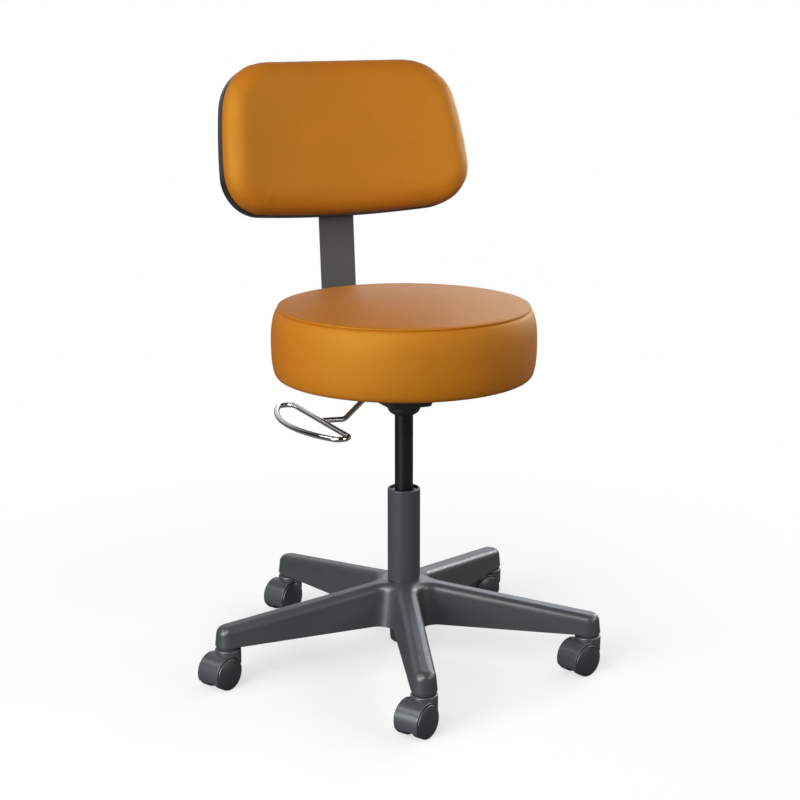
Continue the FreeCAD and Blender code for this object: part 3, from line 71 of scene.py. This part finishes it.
class Finish:
    def __init__(self, owner, coordinates="Object"):
        self.owner = owner
        owner.use_nodes = True
        self.tree = owner.node_tree
        self.tree.nodes.clear()
        self.where = self.node("TexCoord", out=coordinates)

    def node(self, kind, settings=None, inputs=None, out=0):
        made = self.tree.nodes.new("ShaderNode" + kind)
        for name, value in (settings or {}).items():
            setattr(made, name, value)
        for name, value in (inputs or {}).items():
            if isinstance(value, Wire):
                self.tree.links.new(value.socket, made.inputs[name])
            else:
                made.inputs[name].default_value = value
        return Wire(self, made.outputs[out]) if made.outputs else made

    def noise(self, scale, detail=3, at=None, rough=0.5):
        return self.node("TexNoise", None, {"Vector": at or self.where, "Scale": scale, "Detail": detail,
                                            "Roughness": rough})

    def cells(self, scale, feature="F1"):
        return self.node("TexVoronoi", {"feature": feature}, {"Vector": self.where, "Scale": scale})

    def stretch(self, size):
        return self.node("Mapping", None, {"Vector": self.where, "Scale": size})

    def ramp(self, value, low, high):
        return self.node("MapRange", {"clamp": True, "interpolation_type": "SMOOTHSTEP"},
                         {"Value": value, "From Min": low, "From Max": high})

    def mix(self, amount, low, high):
        return self.node("Mix", {"data_type": "RGBA"}, {0: amount, 6: low, 7: high}, out=2)

    def bump(self, height, depth):
        return self.node("Bump", None, {"Height": height, "Distance": depth})

    def done(self, **sockets):
        shader = self.node("BsdfPrincipled", None,
                           {name.replace("_", " "): value for name, value in sockets.items()})
        self.node("OutputMaterial", None, {"Surface": shader})
        return self.owner


def tint(colour, gain):
    return (*(min(1, part * gain) for part in colour), 1)


# finishes

vinylLook = {"colour": (0.5, 0.138, 0.0044), "grain": 820, "depth": 0.00022, "rough": 0.52,
             "shine": (1, 0.95, 0.2, 1)}


def vinylFinish(look):
    paint = Finish(bpy.data.materials.new("caramelVinyl"))
    drift = paint.noise(9, 3)
    pores = paint.cells(look["grain"], "DISTANCE_TO_EDGE")
    # the grain's creases: low lines of the bump, and painted shade that darkens the colour to 0.72 in them
    creaseDepthAndShade = paint.ramp(pores, 0.0, 0.22)
    pebble = paint.noise(look["grain"] * 0.55, 4)
    fine = paint.noise(look["grain"] * 2.2, 2)
    worn = paint.noise(38, 4)
    base = paint.mix(paint.ramp(drift, 0.3, 0.7), tint(look["colour"], 0.93), tint(look["colour"], 1.06))
    # painted shade in the grain's creases
    colour = paint.mix(creaseDepthAndShade, tint(look["colour"], 0.72), base)
    height = creaseDepthAndShade * 0.55 + pebble * 0.9 + fine * 0.25
    return paint.done(Base_Color=colour, Roughness=look["rough"] + worn * 0.1 - creaseDepthAndShade * 0.05,
                      Normal=paint.bump(height, look["depth"]), Specular_IOR_Level=1.0,
                      Specular_Tint=look["shine"])


def mouldedFinish(name, colour, rough, grain, depth):
    # satin moulded plastic: fine spark-eroded grain, faint flow marks and rubbed patches
    paint = Finish(bpy.data.materials.new(name))
    spark = paint.noise(grain, 3, rough=0.65)
    flow = paint.noise(14, 3, paint.stretch((1, 1, 2.5)))
    rubbed = paint.ramp(paint.noise(45, 5), 0.52, 0.75)
    base = paint.mix(paint.ramp(flow, 0.25, 0.75), tint(colour, 0.9), tint(colour, 1.1))
    return paint.done(Base_Color=paint.mix(rubbed * 0.35, base, tint(colour, 1.35)),
                      Roughness=rough + spark * 0.12 - rubbed * 0.07,
                      Normal=paint.bump(spark, depth), Specular_IOR_Level=0.85)


def coatedFinish(name, colour, rough, peel, depth):
    # powder coat: soft orange peel with a few specks
    paint = Finish(bpy.data.materials.new(name))
    skin = paint.noise(peel, 2)
    speck = paint.ramp(paint.cells(420), 0.0, 0.12)
    drift = paint.noise(11, 2)
    base = paint.mix(drift, tint(colour, 0.93), tint(colour, 1.07))
    return paint.done(Base_Color=paint.mix(speck, tint(colour, 1.25), base),
                      Roughness=rough + skin * 0.1 + drift * 0.04, Normal=paint.bump(skin, depth),
                      Specular_IOR_Level=0.5)


def metalFinish(name, colour, rough, streak, depth):
    # plated steel: drawn streaks along Z and faint hazing
    paint = Finish(bpy.data.materials.new(name))
    drawn = paint.noise(streak, 4, paint.stretch((1, 1, 0.06)))
    haze = paint.noise(60, 4)
    base = paint.mix(haze, tint(colour, 0.9), tint(colour, 1.05))
    return paint.done(Base_Color=base, Metallic=1.0, Roughness=rough + drawn * 0.08 + haze * rough * 0.6,
                      Normal=paint.bump(drawn, depth))


def wheelFinish(name, colour):
    # hard nylon: even sheen, with faint scuffs round the tread
    paint = Finish(bpy.data.materials.new(name))
    scuff = paint.ramp(paint.noise(140, 5, rough=0.7), 0.55, 0.8)
    haze = paint.noise(55, 3)
    base = paint.mix(scuff * 0.25, tint(colour, 1.0), tint(colour, 1.5))
    return paint.done(Base_Color=base, Roughness=0.34 + scuff * 0.06 + haze * 0.06,
                      Normal=paint.bump(haze, 0.00002), Specular_IOR_Level=1.0)


def plyFinish(name, colour):
    # rotary-cut veneer: stretched figure with darker pores
    paint = Finish(bpy.data.materials.new(name))
    figure = paint.noise(22, 5, paint.stretch((1, 7, 1)))
    pores = paint.ramp(paint.noise(420, 3, paint.stretch((0.08, 1, 1))), 0.56, 0.7)
    base = paint.mix(figure, tint(colour, 0.75), tint(colour, 1.2))
    return paint.done(Base_Color=paint.mix(pores * 0.6, base, tint(colour, 0.45)),
                      Roughness=0.62 + figure * 0.15, Normal=paint.bump(pores, -0.00008))


def rubberFinish(name, colour):
    paint = Finish(bpy.data.materials.new(name))
    dust = paint.noise(70, 4)
    skin = paint.noise(900, 2)
    base = paint.mix(paint.ramp(dust, 0.4, 0.8), tint(colour, 1.0), tint(colour, 1.8))
    return paint.done(Base_Color=base, Roughness=0.62 + dust * 0.2, Normal=paint.bump(skin, 0.00004))


greyMould = (0.045, 0.0475, 0.053)
finishes = {
    "seat_vinyl": vinylFinish(vinylLook),
    "base_plastic": mouldedFinish("baseMoulding", greyMould, 0.3, 1500, 0.00004),
    "caster_plastic": mouldedFinish("hoodMoulding", (0.058, 0.061, 0.069), 0.26, 1500, 0.00003),
    "shell_plastic": mouldedFinish("shellMoulding", (0.011, 0.0115, 0.013), 0.38, 900, 0.00008),
    "knob_plastic": mouldedFinish("knobMoulding", (0.014, 0.014, 0.016), 0.42, 1300, 0.00005),
    "bushing_plastic": mouldedFinish("acetal", (0.018, 0.018, 0.02), 0.36, 1600, 0.00002),
    "tube_paint": coatedFinish("tubeCoat", (0.05, 0.053, 0.059), 0.33, 420, 0.00005),
    "frame_paint": coatedFinish("barCoat", (0.064, 0.066, 0.07), 0.4, 520, 0.00005),
    "column_black": coatedFinish("columnCoat", (0.0032, 0.0036, 0.0044), 0.3, 120, 0.000004),
    "socket_black": coatedFinish("socketCoat", (0.017, 0.019, 0.022), 0.36, 480, 0.00005),
    "chrome_wire": metalFinish("chrome", (0.84, 0.85, 0.87), 0.02, 240, 0.000001),
    "steel": metalFinish("zincPlate", (0.6, 0.6, 0.58), 0.26, 700, 0.00002),
    "wheel_black": wheelFinish("glossNylon", (0.024, 0.027, 0.033)),
    "plywood": plyFinish("plywood", (0.52, 0.34, 0.18)),
    "bump_rubber": rubberFinish("bumpRubber", (0.016, 0.016, 0.016)),
    "foam": rubberFinish("foamCore", (0.5, 0.44, 0.25)),
}
slotOf = {part["node"]: part["material_slot"] for part in frame["record"]["subparts"]}
for name, item in nodes.items():
    item.data.materials.clear()
    item.data.materials.append(finishes[slotOf[name]])
print("finishes made:", len(finishes))


# mesh helpers

def newPiece(name, mesh, body, slot):
    mesh.normal_update()
    data = bpy.data.meshes.new(name)
    mesh.to_mesh(data)
    mesh.free()
    item = bpy.data.objects.new(name, data)
    scene.collection.objects.link(item)
    data.materials.append(finishes[slot])
    data.shade_smooth()
    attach(item, body)
    return item


def subdivide(item, levels):
    step = item.modifiers.new("round", "SUBSURF")
    step.levels = levels
    step.render_levels = levels


def applyAll(item):
    baked = bpy.data.meshes.new_from_object(item.evaluated_get(bpy.context.evaluated_depsgraph_get()))
    item.modifiers.clear()
    item.data = baked


# padded pieces: a remeshed copy swells as cloth, and its points may move only so far

def swell(mesh, spec, holds):
    pad = bpy.data.objects.new("pad", mesh)
    scene.collection.objects.link(pad)
    remesh = pad.modifiers.new("remesh", "REMESH")
    remesh.mode = "VOXEL"
    remesh.voxel_size = spec["voxel"]
    applyAll(pad)
    before = [point.co.copy() for point in pad.data.vertices]
    held = pad.vertex_groups.new(name="held")
    for i, point in enumerate(before):
        held.add([i], holds(point), "REPLACE")
    cloth = pad.modifiers.new("cloth", "CLOTH")
    cloth.settings.use_pressure = True
    cloth.settings.uniform_pressure_force = spec["pressure"]
    cloth.settings.tension_stiffness = spec["tension"]
    cloth.settings.compression_stiffness = spec["tension"]
    cloth.settings.vertex_group_mass = "held"
    cloth.settings.effector_weights.gravity = 0
    for step in range(1, 21):
        scene.frame_set(step)
    applyAll(pad)
    scene.frame_set(1)
    moves = []
    for point, start in zip(pad.data.vertices, before):
        move = point.co - start
        if move.length > spec["cap"]:
            move *= spec["cap"] / move.length
        moves.append(move)
        point.co = start + move
    swollen = pad.data
    bpy.data.objects.remove(pad)
    return swollen, before, moves


def softCopy(name):
    mesh = bmesh.new()
    mesh.from_mesh(nodes[name].data)
    bmesh.ops.remove_doubles(mesh, verts=mesh.verts, dist=1e-6)
    data = bpy.data.meshes.new(name + "Pad")
    mesh.to_mesh(data)
    mesh.free()
    return data


# round seat: a turned cover with a rolled lip over a sewn groove

seatPad = {
    "voxel": 0.005, "pressure": 4.0, "tension": 15, "cap": 0.0025, "steps": 120,
    "rim": 0.5554, "foot": 0.4484, "radius": 0.2001,
    # held places: the lowest edge, the board's face and the seam under the lip
    "low": 0.012, "board": 0.018, "boardInset": 0.008, "seam": 0.0045, "seamBand": 0.004, "seamRadius": 0.18,
    "near": 8, "blur": 0.002,
    # inset from the seat's radius and drop from its rim, lip first
    "top": [(0.2001, -0.0030), (0.1600, -0.0028), (0.1100, -0.0020), (0.0600, -0.0008), (0.0300, 0.0000),
            (0.0180, 0.0001), (0.0140, 0.0004), (0.0118, 0.0014), (0.0110, 0.0026), (0.0114, 0.0036)],
    "groove": [(0.0122, 0.0042), (0.0126, 0.0046), (0.0118, 0.0050), (0.0104, 0.0055)],
    "side": [(0.0082, 0.0082), (0.0055, 0.0150), (0.0032, 0.0240), (0.0018, 0.0350), (0.0012, 0.0480),
             (0.0012, 0.0620), (0.0016, 0.0750), (0.0028, 0.0880), (0.0048, 0.0980), (0.0072, 0.1040),
             (0.0110, 0.1066), (0.0150, 0.1070), (0.0215, 0.1070)],
    "wrap": [(0.0221, 0.1069), (0.0221, 0.1060), (0.0160, 0.1058), (0.0137, 0.1056), (0.0137, 0.0936),
             (0.0145, 0.0932), (0.2001, 0.0932)],
}


def seatCushion(spec):
    outline = spec["top"] + spec["groove"] + spec["side"] + spec["wrap"]
    mesh = bmesh.new()
    points = [mesh.verts.new((spec["radius"] - inset, 0, spec["rim"] - drop)) for inset, drop in outline]
    lines = [mesh.edges.new(pair) for pair in zip(points, points[1:])]
    bmesh.ops.spin(mesh, geom=points + lines, cent=(0, 0, 0), axis=(0, 0, 1), angle=math.tau,
                   steps=spec["steps"], use_merge=True)
    bmesh.ops.remove_doubles(mesh, verts=mesh.verts, dist=1e-5)
    bmesh.ops.recalc_face_normals(mesh, faces=mesh.faces)

    def held(point):
        reach = math.hypot(point.x, point.y)
        low = point.z < spec["foot"] + spec["low"]
        board = point.z < spec["foot"] + spec["board"] and reach < spec["radius"] - spec["boardInset"]
        seam = abs(point.z - spec["rim"] + spec["seam"]) < spec["seamBand"] and reach > spec["seamRadius"]
        return 1.0 if low or board or seam else 0.0

    before, moves = swell(softCopy("seat_foam"), spec, held)[1:]
    tree = kdtree.KDTree(len(before))
    for i, point in enumerate(before):
        tree.insert(point, i)
    tree.balance()
    for point in mesh.verts:
        near = tree.find_n(point.co, spec["near"])
        shares = [1 / (gap + spec["blur"]) for spot, i, gap in near]
        move = sum((moves[i] * share for (spot, i, gap), share in zip(near, shares)), Vector())
        point.co += move / sum(shares)
    cushion = newPiece("seatCushion", mesh, "seat", "seat_vinyl")
    subdivide(cushion, 1)
    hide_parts("seat_foam", "seat_top_panel", "seat_side_band")


seatCushion(seatPad)
print("seat cushion made")


# backrest pad: the foam swells out of its shell

backPad = {
    "voxel": 0.004, "pressure": 4.0, "tension": 12, "cap": 0.0025, "smooth": 3, "grow": 0.0046,
    "lean": 15.31, "curve": 0.818, "axis": (0, -0.53817, 0.99604),
    # held at the shell, and grown over this depth in front of it
    "shell": 0.003, "ramp": 0.004,
}


def backCushion(spec):
    lean = math.radians(spec["lean"])
    out = Vector((0, math.cos(lean), -math.sin(lean)))
    axis = Vector(spec["axis"])

    def held(point):
        deep = (point - axis).dot(out)
        return 1.0 if math.hypot(point.x, deep) > spec["curve"] - spec["shell"] else 0.0

    swollen = swell(softCopy("back_foam"), spec, held)[0]
    mesh = bmesh.new()
    mesh.from_mesh(swollen)
    mesh.normal_update()
    grown = []
    for point in mesh.verts:
        deep = (point.co - axis).dot(out)
        front = min(1, max(0, (spec["curve"] - math.hypot(point.co.x, deep)) / spec["ramp"]))
        grown.append(point.co + point.normal * spec["grow"] * front)
    for point, place in zip(mesh.verts, grown):
        point.co = place
    for turn in range(spec["smooth"]):
        bmesh.ops.smooth_vert(mesh, verts=mesh.verts, factor=0.5, use_axis_x=True, use_axis_y=True,
                              use_axis_z=True)
    cushion = newPiece("backCushion", mesh, "backrest", "seat_vinyl")
    subdivide(cushion, 1)
    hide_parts("back_foam", "back_cover")


backCushion(backPad)
print("backrest pad made")


# studio: pale floor that fades to white, soft lamps with the key on the left, and the photograph's camera

paleFloor = {"radius": 9, "segments": 64, "pale": 0.93, "dull": 0.16, "near": 0.3, "far": 1.1, "glow": 0.6}


def studioFloor(spec):
    mesh = bmesh.new()
    bmesh.ops.create_circle(mesh, cap_ends=True, segments=spec["segments"], radius=spec["radius"])
    data = bpy.data.meshes.new("floor")
    mesh.to_mesh(data)
    mesh.free()
    floor = bpy.data.objects.new("floor", data)
    scene.collection.objects.link(floor)
    paint = Finish(bpy.data.materials.new("paleFloor"))
    reach = paint.node("VectorMath", {"operation": "LENGTH"}, {0: paint.where}, out="Value")
    fade = paint.ramp(reach, spec["near"], spec["far"])
    ray = paint.node("LightPath", out="Is Camera Ray")
    pale = paint.node("BsdfDiffuse", None, {"Color": tint((1, 1, 1), spec["pale"])})
    dull = paint.node("BsdfDiffuse", None, {"Color": tint((1, 1, 1), spec["dull"])})
    glow = paint.node("Emission", None, {"Color": (1, 1, 1, 1), "Strength": 1.0})
    matt = paint.node("MixShader", None, {0: ray, 1: dull, 2: pale})
    share = spec["glow"] + fade * (1 - spec["glow"])
    both = paint.node("MixShader", None, {0: share * ray, 1: matt, 2: glow})
    paint.node("OutputMaterial", None, {"Surface": both})
    data.materials.append(paint.owner)


# the room is dim, and only what mirrors the far side sees some white
studioRoom = {"level": 0.02, "ahead": (0.427, 0.904, 0), "low": 0.1, "high": 1.5}


def studioWorld(spec):
    world = bpy.data.worlds.new("studio")
    scene.world = world
    room = Finish(world, "Generated")
    facing = room.node("VectorMath", {"operation": "DOT_PRODUCT"}, {0: room.where, 1: spec["ahead"]},
                       out="Value")
    beyond = room.ramp(facing, spec["low"], spec["high"])
    seen = room.node("LightPath", out="Is Camera Ray")
    mirrored = room.node("LightPath", out="Is Glossy Ray")
    through = room.node("LightPath", out="Is Transmission Ray")
    dim = room.node("Background", None, {"Color": (1, 1, 1, 1), "Strength": spec["level"]})
    white = room.node("Background", None, {"Color": (1, 1, 1, 1), "Strength": 1.0})
    both = room.node("MixShader", None, {0: seen + through + mirrored * beyond, 1: dim, 2: white})
    room.node("OutputWorld", None, {"Surface": both})


lampAim = Vector((0, 0, 0.45))
lamps = {
    "keyLow": {"azimuth": -70, "elevation": 14, "far": 3.2, "size": 2.2, "power": 94,
               "tint": (0.93, 1, 0.95)},
    "key": {"azimuth": -44, "elevation": 34, "far": 3.0, "size": 1.6, "power": 35, "tint": (0.98, 1, 0.97)},
    "keyHigh": {"azimuth": -65, "elevation": 60, "far": 2.6, "size": 1.0, "power": 7,
                "tint": (1, 0.97, 0.92)},
    "front": {"azimuth": 32, "elevation": 20, "far": 3.0, "size": 1.4, "power": 20, "tint": (1, 0.98, 0.96)},
    "side": {"azimuth": -108, "elevation": 39, "far": 2.6, "size": 0.9, "power": 9, "tint": (0.95, 0.98, 1)},
    "fill": {"azimuth": 75, "elevation": 28, "far": 3.0, "size": 1.6, "power": 28, "tint": (1, 0.84, 0.73)},
    "rim": {"azimuth": 112, "elevation": 16, "far": 2.6, "size": 1.0, "power": 18, "tint": (0.94, 0.96, 1)},
    "sheen": {"azimuth": 122, "elevation": 24, "far": 1.1, "size": 0.7, "power": 2.6,
              "tint": (0.84, 0.92, 1)},
    "back": {"azimuth": 150, "elevation": 20, "far": 2.6, "size": 1.2, "power": 6, "tint": (0.84, 0.92, 1)},
}


def studioLamp(name, spec, aim):
    light = bpy.data.lights.new(name, "AREA")
    light.shape = "DISK"
    light.size = spec["size"]
    light.energy = spec["power"]
    light.color = spec["tint"]
    lamp = bpy.data.objects.new(name, light)
    scene.collection.objects.link(lamp)
    a, e = math.radians(spec["azimuth"]), math.radians(spec["elevation"])
    back = Vector((math.sin(a) * math.cos(e), -math.cos(a) * math.cos(e), math.sin(e)))
    lamp.location = aim + back * spec["far"]
    lamp.visible_camera = False
    lamp.rotation_euler = back.to_track_quat("Z", "Y").to_euler()


photoCamera = {"lens": 77.81, "at": (-1.0840, -2.2917, 1.0219), "aim": (-0.0054, 0.0025, 0.4082)}


def photoView(spec):
    data = bpy.data.cameras.new("photoCamera")
    data.sensor_width = 36
    data.lens = spec["lens"]
    camera = bpy.data.objects.new("photoCamera", data)
    scene.collection.objects.link(camera)
    camera.location = spec["at"]
    back = Vector(spec["at"]) - Vector(spec["aim"])
    camera.rotation_euler = back.to_track_quat("Z", "Y").to_euler()
    scene.camera = camera


studioFloor(paleFloor)
studioWorld(studioRoom)
for name, spec in lamps.items():
    studioLamp(name, spec, lampAim)
photoView(photoCamera)
scene.view_settings.view_transform = "Standard"
print("studio set")
